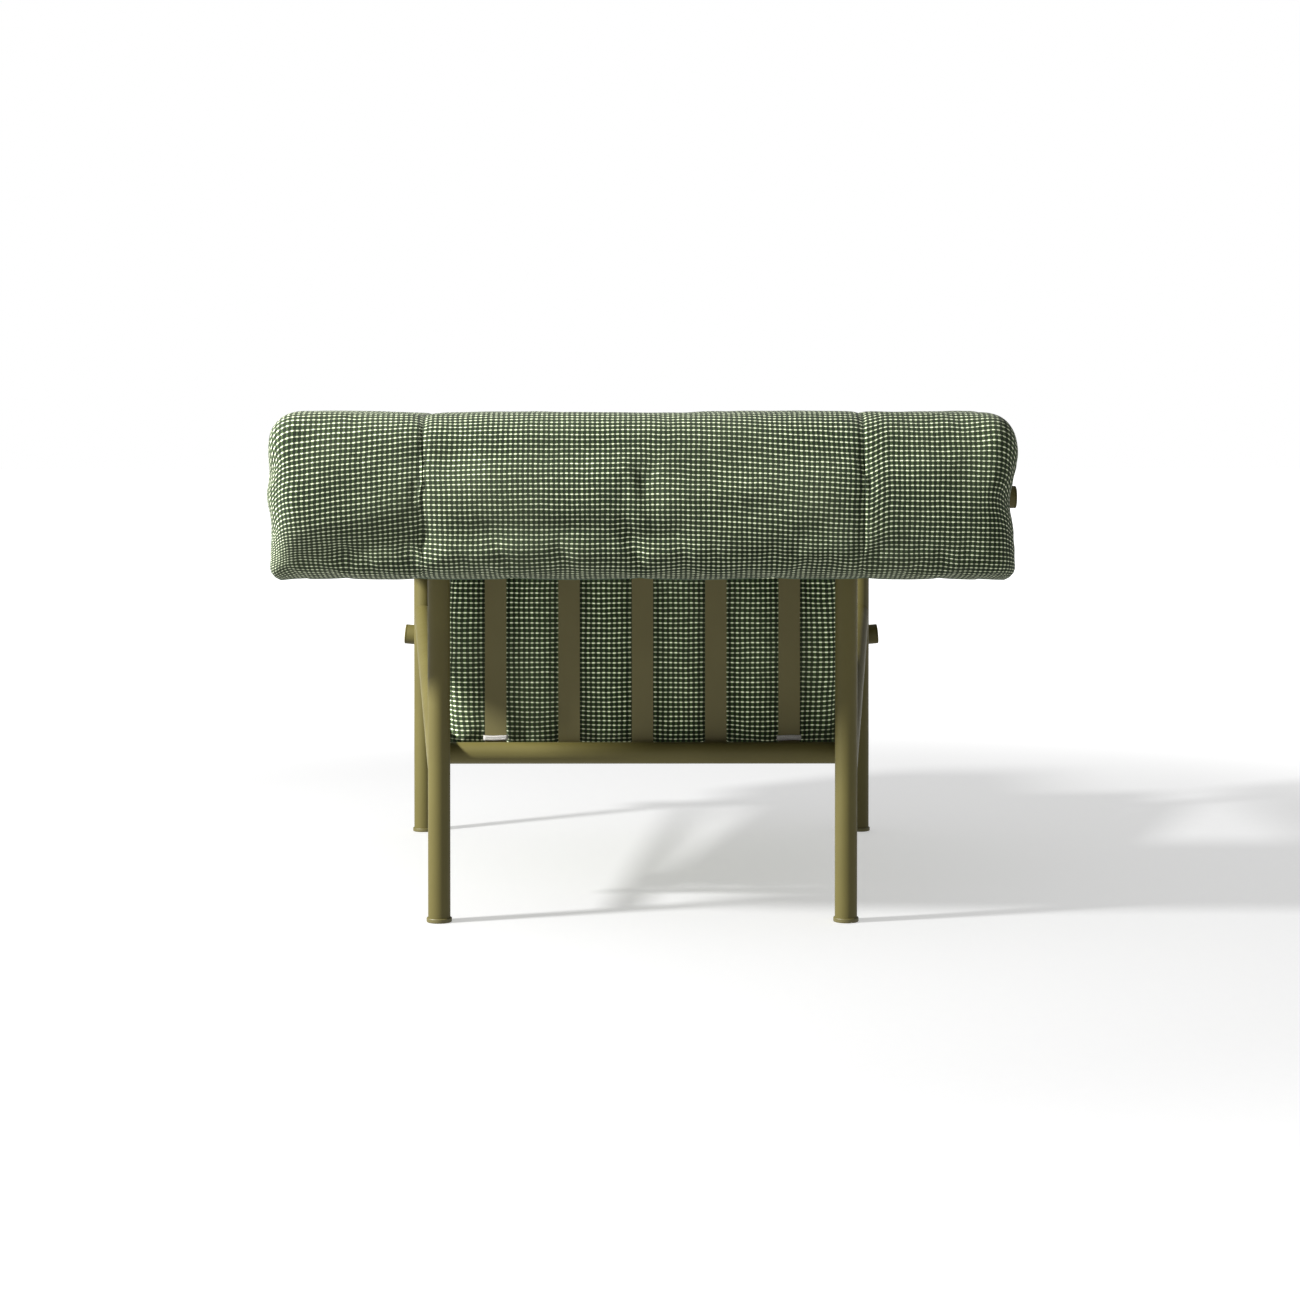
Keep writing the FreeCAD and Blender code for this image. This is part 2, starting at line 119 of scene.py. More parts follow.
def weave(name, uv_name, pitch, lift, level):
    """Coarse outdoor cloth: rows of cream dashes on mid-green threads, with dark gaps between.
    The pitch is (across, along) in metres, and level lightens or darkens every thread alike."""
    m = Nodes(name)

    def shade(red, green, blue):
        """A thread's colour at this cloth's level."""
        return (red * level, green * level, blue * level, 1.0)

    place = m.node("ShaderNodeUVMap", uv_map=uv_name).outputs["UV"]
    warp = m.node("ShaderNodeTexNoise", {"Vector": place, "Scale": 22.0, "Detail": 2.0})
    shift = m.node(
        "ShaderNodeVectorMath",
        {0: warp.outputs["Color"], 1: (-0.5, -0.5, -0.5)},
        operation="ADD",
    )
    shift = m.node(
        "ShaderNodeVectorMath",
        {0: shift.outputs[0], "Scale": 0.0030},
        operation="SCALE",
    )
    warped = m.node(
        "ShaderNodeVectorMath", {0: place, 1: shift.outputs[0]}, operation="ADD"
    )
    parts = m.node("ShaderNodeSeparateXYZ", {0: warped.outputs[0]})
    across = m.maths("DIVIDE", parts.outputs["X"], pitch[0])
    along = m.maths("DIVIDE", parts.outputs["Y"], pitch[1])
    cell = m.node(
        "ShaderNodeCombineXYZ",
        {0: m.maths("FLOOR", across), 1: m.maths("FLOOR", along)},
    )
    chance = m.node(
        "ShaderNodeTexWhiteNoise", {"Vector": cell.outputs[0]}, noise_dimensions="2D"
    )
    from_col = m.maths("ABSOLUTE", m.maths("SUBTRACT", m.maths("FRACT", across), 0.5))
    from_row = m.maths("ABSOLUTE", m.maths("SUBTRACT", m.maths("FRACT", along), 0.5))
    in_col = m.maths("SUBTRACT", 1.0, m.smooth(from_col, 0.15, 0.23))
    in_row = m.maths("SUBTRACT", 1.0, m.smooth(from_row, 0.11, 0.19))
    link = m.maths("SUBTRACT", 1.0, m.smooth(from_row, 0.04, 0.10))
    dash_wide = m.maths("SUBTRACT", 1.0, m.smooth(from_col, 0.20, 0.31))
    dash_tall = m.maths("SUBTRACT", 1.0, m.smooth(from_row, 0.09, 0.18))
    dash = m.maths("MULTIPLY", dash_wide, dash_tall)
    thread = m.maths("MAXIMUM", in_col, in_row)
    fleck = m.maths(
        "FRACT",
        m.maths("MULTIPLY", m.maths("ADD", across, along), 3.0),
    )
    twill = m.maths("GREATER_THAN", fleck, 0.62)
    dark = m.mix(
        m.maths("MULTIPLY", twill, 0.55),
        shade(0.004, 0.007, 0.003),
        shade(0.020, 0.032, 0.015),
    )
    tone = m.mix(
        chance.outputs["Value"], shade(0.031, 0.055, 0.019), shade(0.057, 0.089, 0.030)
    )
    cream = m.mix(
        chance.outputs["Value"], shade(0.52, 0.55, 0.38), shade(0.80, 0.84, 0.62)
    )
    colour = m.mix(m.maths("MULTIPLY", thread, 0.85), dark, tone)
    colour = m.mix(m.maths("MULTIPLY", link, 0.14), colour, cream)
    colour = m.mix(dash, colour, cream)
    worn = m.noise(place, 5.0, 3.0)
    colour = m.mix(
        m.smooth(worn, 0.35, 0.75),
        colour,
        m.mix(0.10, colour, shade(0.20, 0.23, 0.14)),
    )
    m.put(m.shader.inputs["Base Color"], colour)
    height = m.maths("ADD", dash, m.maths("MULTIPLY", thread, 0.45))
    fuzz = m.noise(place, 1400.0, 2.0)
    height = m.maths("ADD", height, m.maths("MULTIPLY", fuzz, 0.35))
    m.put(m.shader.inputs["Normal"], m.bump(height, lift, 0.8))
    rough = m.maths("ADD", m.maths("MULTIPLY", fuzz, 0.15), 0.78)
    m.put(m.shader.inputs["Roughness"], rough)
    m.shader.inputs["Sheen Weight"].default_value = 0.05
    m.shader.inputs["Sheen Roughness"].default_value = 0.5
    m.shader.inputs["Specular IOR Level"].default_value = 0.15
    return m.material


def seam_tape(name):
    """Plain dark-green piping cord with a fine grain."""
    m = Nodes(name)
    place = m.node("ShaderNodeTexCoord").outputs["Object"]
    grain = m.noise(place, 900.0, 2.0)
    wide = m.noise(place, 30.0, 3.0)
    colour = m.mix(grain, (0.020, 0.036, 0.022, 1.0), (0.085, 0.125, 0.070, 1.0))
    colour = m.mix(m.maths("MULTIPLY", wide, 0.4), colour, (0.10, 0.14, 0.08, 1.0))
    m.put(m.shader.inputs["Base Color"], colour)
    m.put(m.shader.inputs["Normal"], m.bump(grain, 0.0003, 0.7))
    m.put(m.shader.inputs["Roughness"], m.maths("ADD", m.maths("MULTIPLY", wide, 0.2), 0.7))
    m.shader.inputs["Sheen Weight"].default_value = 0.15
    return m.material


def powder_coat(name, light, dark, rough=0.52):
    """Matte powder coat: orange peel, faint clouding, and a slightly polished look at worn edges."""
    m = Nodes(name)
    place = m.node("ShaderNodeTexCoord").outputs["Object"]
    cloud = m.noise(place, 7.0, 4.0)
    speck = m.noise(place, 1100.0, 2.0)
    scuff = m.noise(place, 90.0, 5.0, 0.65)
    colour = m.mix(m.smooth(cloud, 0.3, 0.7), dark, light)
    colour = m.mix(m.maths("MULTIPLY", m.smooth(speck, 0.62, 0.8), 0.25), colour, light)
    edge = m.node("ShaderNodeBevel", {"Radius": 0.0012}, samples=4)
    flat = m.node("ShaderNodeNewGeometry").outputs["Normal"]
    turned = m.node(
        "ShaderNodeVectorMath",
        {0: edge.outputs["Normal"], 1: flat},
        operation="DOT_PRODUCT",
    ).outputs["Value"]
    worn = m.maths("SUBTRACT", 1.0, m.smooth(turned, 0.90, 0.995))
    worn = m.maths("MULTIPLY", worn, m.smooth(scuff, 0.45, 0.6))
    brighter = tuple(min(1.0, c * 1.5) for c in light[:3]) + (1.0,)
    colour = m.mix(m.maths("MULTIPLY", worn, 0.5), colour, brighter)
    m.put(m.shader.inputs["Base Color"], colour)
    sheen = m.maths("ADD", m.maths("MULTIPLY", scuff, 0.16), rough - 0.08)
    m.put(m.shader.inputs["Roughness"], sheen)
    m.put(m.shader.inputs["Normal"], m.bump(speck, 0.00012, 0.6))
    m.shader.inputs["Specular IOR Level"].default_value = 0.22
    return m.material


def moulded(name, light, dark):
    """Satin moulded plastic with a fine spark-eroded grain."""
    m = Nodes(name)
    place = m.node("ShaderNodeTexCoord").outputs["Object"]
    grain = m.noise(place, 1600.0, 2.0)
    cloud = m.noise(place, 40.0, 3.0)
    m.put(m.shader.inputs["Base Color"], m.mix(cloud, dark, light))
    m.put(m.shader.inputs["Roughness"], m.maths("ADD", m.maths("MULTIPLY", grain, 0.2), 0.4))
    m.put(m.shader.inputs["Normal"], m.bump(grain, 0.00008, 0.5))
    return m.material


def webbing(name, uv_name):
    """Grey-white woven tape: chevron ribs across a strap, from its own UVs."""
    m = Nodes(name)
    place = m.node("ShaderNodeUVMap", uv_map=uv_name).outputs["UV"]
    parts = m.node("ShaderNodeSeparateXYZ", {0: place})
    run = m.maths("DIVIDE", parts.outputs["X"], 0.0011)
    width = m.maths("DIVIDE", parts.outputs["Y"], 0.0011)
    fold = m.maths("PINGPONG", width, 1.7)
    rib = m.maths("ABSOLUTE", m.maths("SUBTRACT", m.maths("FRACT", m.maths("ADD", run, fold)), 0.5))
    rib = m.smooth(rib, 0.08, 0.42)
    dirt = m.noise(place, 90.0, 4.0)
    colour = m.mix(rib, (0.27, 0.26, 0.24, 1.0), (0.62, 0.60, 0.57, 1.0))
    colour = m.mix(m.maths("MULTIPLY", dirt, 0.35), colour, (0.36, 0.35, 0.32, 1.0))
    m.put(m.shader.inputs["Base Color"], colour)
    m.put(m.shader.inputs["Normal"], m.bump(rib, 0.0004, 0.9))
    m.put(m.shader.inputs["Roughness"], m.maths("ADD", m.maths("MULTIPLY", dirt, 0.2), 0.65))
    m.shader.inputs["Sheen Weight"].default_value = 0.2
    return m.material


def studio_floor(name):
    """Near-white paper sweep with faint fibre. It glows more away from the middle, as under broad lamps."""
    m = Nodes(name)
    place = m.node("ShaderNodeTexCoord").outputs["Object"]
    fibre = m.noise(place, 60.0, 4.0)
    parts = m.node("ShaderNodeSeparateXYZ", {0: place})
    flat = m.node("ShaderNodeCombineXYZ", {0: parts.outputs["X"], 1: parts.outputs["Y"]})
    away = m.node("ShaderNodeVectorMath", {0: flat.outputs[0]}, operation="LENGTH").outputs["Value"]
    glow = m.maths("ADD", m.maths("MULTIPLY", m.smooth(away, 1.15, 3.0), 0.75), FLOOR_GLOW)
    m.put(m.shader.inputs["Base Color"], m.mix(fibre, grey(0.82), grey(0.86)))
    m.put(m.shader.inputs["Roughness"], m.maths("ADD", m.maths("MULTIPLY", fibre, 0.1), 0.85))
    m.shader.inputs["Emission Color"].default_value = grey(1.0)
    m.put(m.shader.inputs["Emission Strength"], glow)
    m.shader.inputs["Specular IOR Level"].default_value = 0.1
    return m.material


FLOOR_GLOW = 0.39
FABRIC_UV = "cloth"
END_COLUMNS = 14
OLIVE_LIGHT = (0.091, 0.078, 0.022, 1.0)
OLIVE_DARK = (0.080, 0.068, 0.019, 1.0)
SLAT_LIGHT = (0.120, 0.105, 0.042, 1.0)
SLAT_DARK = (0.108, 0.094, 0.037, 1.0)

frame_paint = powder_coat("olive_powder_coat", OLIVE_LIGHT, OLIVE_DARK)
slat_paint = powder_coat("olive_powder_coat_slats", SLAT_LIGHT, SLAT_DARK, 0.58)
cap_paint = powder_coat("olive_powder_coat_caps", OLIVE_LIGHT, OLIVE_DARK, 0.46)
foot_plastic = moulded("olive_moulded_plastic", OLIVE_LIGHT, OLIVE_DARK)
quilt_cloth = weave("quilt_weave", FABRIC_UV, (6.55 * MM, 6.6 * MM), 0.0009, 0.84)
# The cushions take the quilt's own weave at level 1.52 instead of 0.84, so they are painted about 1.8 times
# lighter: painted light for the extra light that falls on them behind the slats.
painted_light_seat_cloth = weave("seat_weave_painted_light", FABRIC_UV, (7.18 * MM, 6.95 * MM), 0.0009, 1.52)
seam_cloth = seam_tape("seam_tape")
strap_cloth = webbing("strap_webbing", FABRIC_UV)
floor_paint = studio_floor("paper_sweep")

NODE_PAINT = {"slat": slat_paint, "cap": cap_paint, "foot": foot_plastic}
for node_name, node_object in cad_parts.items():
    words = node_name.split("_")
    chosen = next((NODE_PAINT[w] for w in words if w in NODE_PAINT), frame_paint)
    for material_slot in node_object.material_slots:
        material_slot.material = chosen


# ---------------------------------------------------------------- soft shapes

def resample(points, count, split=None):
    """Even steps along a line. With split (steps, metres), that many of the steps cover the first metres."""
    points = np.array(points, float)
    reach = length_along(points)
    if split is None:
        even = np.linspace(0.0, reach[-1], count + 1)
    else:
        steps, first = split
        even = np.linspace(0.0, first, steps + 1)
        even = np.concatenate([even, np.linspace(first, reach[-1], count - steps + 1)[1:]])
    return np.stack([np.interp(even, reach, points[:, k]) for k in range(points.shape[1])], axis=1)


def rounded(corners, radii, per_arc=10):
    """A polyline through 2-D corners, each eased by a curve that starts a radius away from the corner."""
    corners = [np.array(c, float) for c in corners]
    points = [corners[0]]
    for before, corner, after, radius in zip(corners, corners[1:], corners[2:], radii):
        way_in = before - corner
        way_out = after - corner
        length_in = np.linalg.norm(way_in)
        length_out = np.linalg.norm(way_out)
        way_in /= max(length_in, 1e-9)
        way_out /= max(length_out, 1e-9)
        reach = min(radius, 0.49 * length_in, 0.49 * length_out)
        start = corner + way_in * reach
        end = corner + way_out * reach
        for k in range(per_arc + 1):
            t = k / per_arc
            points.append((1 - t) ** 2 * start + 2 * t * (1 - t) * corner + t * t * end)
    points.append(corners[-1])
    return points


def edge_profile(distance, width, power=2.3):
    """How full the pad is at a distance in from its seam: 0 at the seam, 1 past width."""
    t = 1.0 - np.clip(distance / width, 0.0, 1.0)
    return (1.0 - t**power) ** (1.0 / power)


def smooth_step(value, start, end):
    """0 before start and 1 after end, smoothly between."""
    t = np.clip((value - start) / (end - start), 0.0, 1.0)
    return t * t * (3.0 - 2.0 * t)


def drift(points, size, seed):
    """Smooth noise from -1 to 1 at each point."""
    away = Vector((seed * 13.7, seed * 5.1, seed * 9.3))
    return np.array([noise.noise(Vector(p) / size + away) for p in points])


def cloth_place(grid):
    """Metres along the cloth for every grid point: across from the middle, and along from the first hem.
    The columns near both ends take their lengths from the first full one, where the pad isn't pinched."""
    n, m = grid.shape[:2]
    steps = np.linalg.norm(np.diff(grid[:, m // 2], axis=0), axis=1)
    across = np.concatenate([[0.0], np.cumsum(steps)])
    across -= across[n // 2]
    inside = np.clip(np.arange(n), END_COLUMNS, n - 1 - END_COLUMNS)
    steps = np.linalg.norm(np.diff(grid[inside], axis=1), axis=2)
    along = np.concatenate([np.zeros((n, 1)), np.cumsum(steps, axis=1)], axis=1)
    return np.repeat(across[:, None], m, axis=1), along


def sewn_pad(name, outer, inner, material, slant=None):
    """A closed mesh of two cloth sheets, outer and inner, that share their border. Both are (n, m, 3) grids.
    The cloth's UVs are metres along the sheets; slant(u, v) may shift the rows."""
    n, m = outer.shape[:2]
    number = {}
    points = []
    for i in range(n):
        for j in range(m):
            number["outer", i, j] = len(points)
            points.append(outer[i, j])
    for i in range(n):
        for j in range(m):
            if i in (0, n - 1) or j in (0, m - 1):
                number["inner", i, j] = number["outer", i, j]
            else:
                number["inner", i, j] = len(points)
                points.append(inner[i, j])
    faces = []
    places = []
    for side, grid in (("outer", outer), ("inner", inner)):
        cloth_u, cloth_v = cloth_place(grid)
        if slant is not None and side == "outer":
            cloth_v = cloth_v + slant(cloth_u, cloth_v)
        for i in range(n - 1):
            for j in range(m - 1):
                ring = [(i, j), (i + 1, j), (i + 1, j + 1), (i, j + 1)]
                if side == "inner":
                    ring.reverse()
                faces.append([number[(side,) + c] for c in ring])
                places.extend((cloth_u[c], cloth_v[c]) for c in ring)
    mesh = bpy.data.meshes.new(name)
    mesh.from_pydata([tuple(p) for p in points], [], faces)
    layer = mesh.uv_layers.new(name=FABRIC_UV)
    layer.data.foreach_set("uv", np.array(places, np.float32).ravel())
    mesh.materials.append(material)
    mesh.update()
    made = bpy.data.objects.new(name, mesh)
    bpy.context.scene.collection.objects.link(made)
    return made


def coordinates(made):
    """The places of an object's vertices, as rows of x, y, z."""
    flat = np.zeros(len(made.data.vertices) * 3)
    made.data.vertices.foreach_get("co", flat)
    return flat.reshape(-1, 3)


def set_coordinates(made, points):
    """Moves an object's vertices to these places."""
    made.data.vertices.foreach_set("co", np.array(points, np.float32).ravel())
    made.data.update()


def shift_rows(made, rise):
    """Moves the cloth's rows by rise metres at each vertex, so that the weave keeps its pitch."""
    layer = made.data.uv_layers[FABRIC_UV]
    places = np.zeros(len(layer.data) * 2, np.float32)
    layer.data.foreach_get("uv", places)
    corners = np.zeros(len(made.data.loops), np.int32)
    made.data.loops.foreach_get("vertex_index", corners)
    places = places.reshape(-1, 2)
    places[:, 1] += rise[corners]
    layer.data.foreach_set("uv", places.ravel())


def normals(made):
    """The outward directions at an object's vertices."""
    flat = np.zeros(len(made.data.vertices) * 3)
    made.data.vertices.foreach_get("normal", flat)
    return flat.reshape(-1, 3)


def billow(made, limit, pressure=4.0, grow=-0.03, held=None, frames=20):
    """Cloth simulation with inner pressure; no point ends further than limit from its start."""
    before = coordinates(made)
    bpy.context.view_layer.objects.active = made
    modifier = made.modifiers.new("billow", "CLOTH")
    settings = modifier.settings
    settings.quality = 5
    settings.mass = 0.3
    settings.use_pressure = True
    settings.uniform_pressure_force = pressure
    settings.tension_stiffness = 25
    settings.compression_stiffness = 25
    settings.shear_stiffness = 8
    settings.bending_stiffness = 0.6
    settings.shrink_min = grow
    settings.effector_weights.gravity = 0.0
    modifier.collision_settings.use_collision = False
    modifier.point_cache.frame_start = 1
    modifier.point_cache.frame_end = frames
    if held is not None:
        group = made.vertex_groups.new(name="held")
        for index, weight in enumerate(held):
            if weight > 0.0:
                group.add([index], float(weight), "REPLACE")
        settings.vertex_group_mass = "held"
    scene = bpy.context.scene
    for step in range(1, frames + 1):
        scene.frame_set(step)
    ready = made.evaluated_get(bpy.context.evaluated_depsgraph_get())
    flat = np.zeros(len(ready.data.vertices) * 3)
    ready.data.vertices.foreach_get("co", flat)
    moved = flat.reshape(-1, 3) - before
    made.modifiers.remove(modifier)
    scene.frame_set(1)
    length = np.linalg.norm(moved, axis=1, keepdims=True)
    eased = limit * np.tanh(length / limit)
    set_coordinates(made, before + moved * eased / np.maximum(length, 1e-9))


def add_piping(made, grid_shape, body, thickness=0.9):
    """A thin corded seam along the line where a pad's two sheets meet."""
    n, m = grid_shape[:2]
    grid = np.arange(n * m).reshape(n, m)
    ring = [*grid[0, :-1], *grid[:-1, -1], *grid[-1, :0:-1], *grid[:0:-1, 0]]
    points = coordinates(made)[ring]
    curve = bpy.data.curves.new(made.name + "_seam", "CURVE")
    curve.dimensions = "3D"
    curve.bevel_depth = thickness * MM
    curve.bevel_resolution = 3
    spline = curve.splines.new("POLY")
    spline.points.add(len(points) - 1)
    spline.points.foreach_set("co", np.hstack([points, np.ones((len(points), 1))]).ravel())
    spline.use_cyclic_u = True
    cord = bpy.data.objects.new(made.name + "_seam", curve)
    mesh = bpy.data.meshes.new_from_object(cord)
    bpy.data.objects.remove(cord)
    mesh.materials.clear()
    mesh.materials.append(seam_cloth)
    mesh.polygons.foreach_set("use_smooth", [True] * len(mesh.polygons))
    piping = bpy.data.objects.new(made.name + "_seam", mesh)
    scene.collection.objects.link(piping)
    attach(piping, body)


def finish_pad(made, grid_shape, body, node):
    """One subdivision, piping, a place under its body, and the CAD part it replaces hidden."""
    modifier = made.modifiers.new("smooth", "SUBSURF")
    modifier.levels = 1
    modifier.render_levels = 1
    bpy.context.view_layer.objects.active = made
    bpy.ops.object.modifier_apply(modifier="smooth")
    made.data.polygons.foreach_set("use_smooth", [True] * len(made.data.polygons))
    add_piping(made, grid_shape, body)
    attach(made, body)
    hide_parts(node)


def size_of(node):
    """A CAD node's lowest and highest corner."""
    low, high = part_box(node)
    return np.array(low), np.array(high)


# ---------------------------------------------------------------- soft pieces

quilt_low, quilt_high = size_of("back_quilt")
rail_low, rail_high = size_of("top_rail")
arm_low, arm_high = size_of("arm_rail_right")
armpad_low, armpad_high = size_of("arm_quilt_right")
back_low, back_high = size_of("back_cushion")
seat_low, seat_high = size_of("seat_cushion")
slat_boxes = [size_of(name) for name in sorted(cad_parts) if name.startswith("slat_")]
SLAT_X = [(low[0] + high[0]) / 2 for low, high in slat_boxes]
SLAT_HALF = (slat_boxes[0][1][0] - slat_boxes[0][0][0]) / 2
CLEAR = 1.0 * MM
SEAM_X = 286 * MM
SEAT_THICK = 145 * MM
QUILT_ROWS = 92

# Each soft hollow in the back quilt's rear flap, in millimetres: where it is from the middle and above
# the quilt's lower edge, its half width, its half height and its depth.
HOLLOWS = (
    (100, 133, 60, 22, 6.75),
    (145, 93, 50, 16, 5.25),
    (0, 53, 75, 18, 8.25),
    (-90, 68, 50, 14, 4.5),
    (-205, 58, 55, 20, 7.5),
    (235, 63, 40, 22, 5.25),
    (335, 38, 50, 16, 4.5),
    (420, 158, 30, 40, 6),
    (-60, 173, 90, 14, 3.3),
    (-240, 153, 30, 30, 3.75),
)


def shape_pad(outer, inner, end_width, hem_width, power=2.4, hem_power=2.4):
    """Rounds the pad towards its seams, by bringing both sheets to the line midway between them."""
    n, m = outer.shape[:2]
    middle = (outer + inner) / 2
    across = np.linalg.norm(np.diff(middle[:, m // 2], axis=0), axis=1)
    along = np.linalg.norm(np.diff(middle, axis=1), axis=2)
    reach_u = np.concatenate([[0], np.cumsum(across)])
    reach_u = np.minimum(reach_u, reach_u[-1] - reach_u)
    reach_v = np.concatenate([np.zeros((n, 1)), np.cumsum(along, axis=1)], axis=1)
    reach_v = np.minimum(reach_v, reach_v[:, -1:] - reach_v)
    full_u = edge_profile(reach_u, end_width, power)[:, None]
    full = (full_u * edge_profile(reach_v, hem_width, hem_power))[:, :, None]
    return middle + (outer - middle) * full, middle + (inner - middle) * full


def stations(low, high, spacing, extra=(), end_reach=0.0):
    """Grid stations: even ones, finer ones within end_reach of both ends, and extra ones."""
    even = np.linspace(low, high, round((high - low) / spacing) + 1)
    if end_reach:
        t = np.linspace(0.0, 1.0, 13)
        fine = end_reach * (1 - np.cos(t * math.pi / 2))
        even = even[(even > low + end_reach) & (even < high - end_reach)]
        even = np.concatenate([low + fine, even, high - fine])
    values = np.unique(np.round(even, 5))
    for x in extra:
        values = values[np.abs(values - x) > 0.4 * spacing]
        values = np.concatenate([values, [x - 2 * MM, x, x + 2 * MM]])
    return np.sort(values)


def length_along(points):
    """Metres from the first point to each point of a polyline."""
    return np.concatenate([[0.0], np.cumsum(np.linalg.norm(np.diff(points, axis=0), axis=1))])


def fold_grid(values, rows, section, axis, split=None):
    """Sweeps section(value) -> (outer corners, radii, inner corners, radii) along X (axis 0) or Y (axis 1).
    The split keeps the outer sheet's first rows level from one section to the next."""
    outer = np.zeros((len(values), rows + 1, 3))
    inner = np.zeros_like(outer)
    spread = 1 - axis
    for i, value in enumerate(values):
        out_corners, out_radii, in_corners, in_radii = section(value)
        out_points = resample(rounded(out_corners, out_radii), rows, split)
        in_points = resample(rounded(in_corners, in_radii), rows)
        for grid, points in ((outer, out_points), (inner, in_points)):
            grid[i, :, axis] = value
            grid[i, :, spread] = points[:, 0]
            grid[i, :, 2] = points[:, 1]
    return outer, inner


def held_inner(outer_shape, total, hold=1.0, edge=0.4):
    """Pin weights: the inner sheet is held, and the seam half held."""
    n, m = outer_shape[:2]
    weights = np.full(total, hold)
    weights[: n * m] = 0.0
    grid = np.arange(n * m).reshape(n, m)
    for border in (grid[0], grid[-1], grid[:, 0], grid[:, -1]):
        weights[border] = edge
    return weights


def soft_bump(points, axes, centre, radii):
    """A bell over two of the coordinates: 1 at centre, fading over radii."""
    a = (points[:, axes[0]] - centre[0]) / radii[0]
    b = (points[:, axes[1]] - centre[1]) / radii[1]
    return np.exp(-(a * a + b * b))


def round_corners(outer, inner, axis, radius):
    """Rounds the corners where an end seam meets a hem: rows near a hem are drawn in at both ends."""
    middle = (outer + inner) / 2
    along = np.linalg.norm(np.diff(middle, axis=1), axis=2)
    reach = np.concatenate([np.zeros((len(outer), 1)), np.cumsum(along, axis=1)], axis=1)
    reach = np.minimum(reach, reach[:, -1:] - reach)
    values = outer[:, 0, axis]
    centre, half = (values[0] + values[-1]) / 2, (values[-1] - values[0]) / 2
    left = 1 - np.clip(reach / radius, 0.0, 1.0)
    draw = radius * (1 - np.sqrt(1 - left**2))
    share = ((values - centre) / half)[:, None]
    shift = draw * np.sign(share) * np.abs(share) ** 8
    for grid in (outer, inner):
        grid[:, :, axis] -= shift


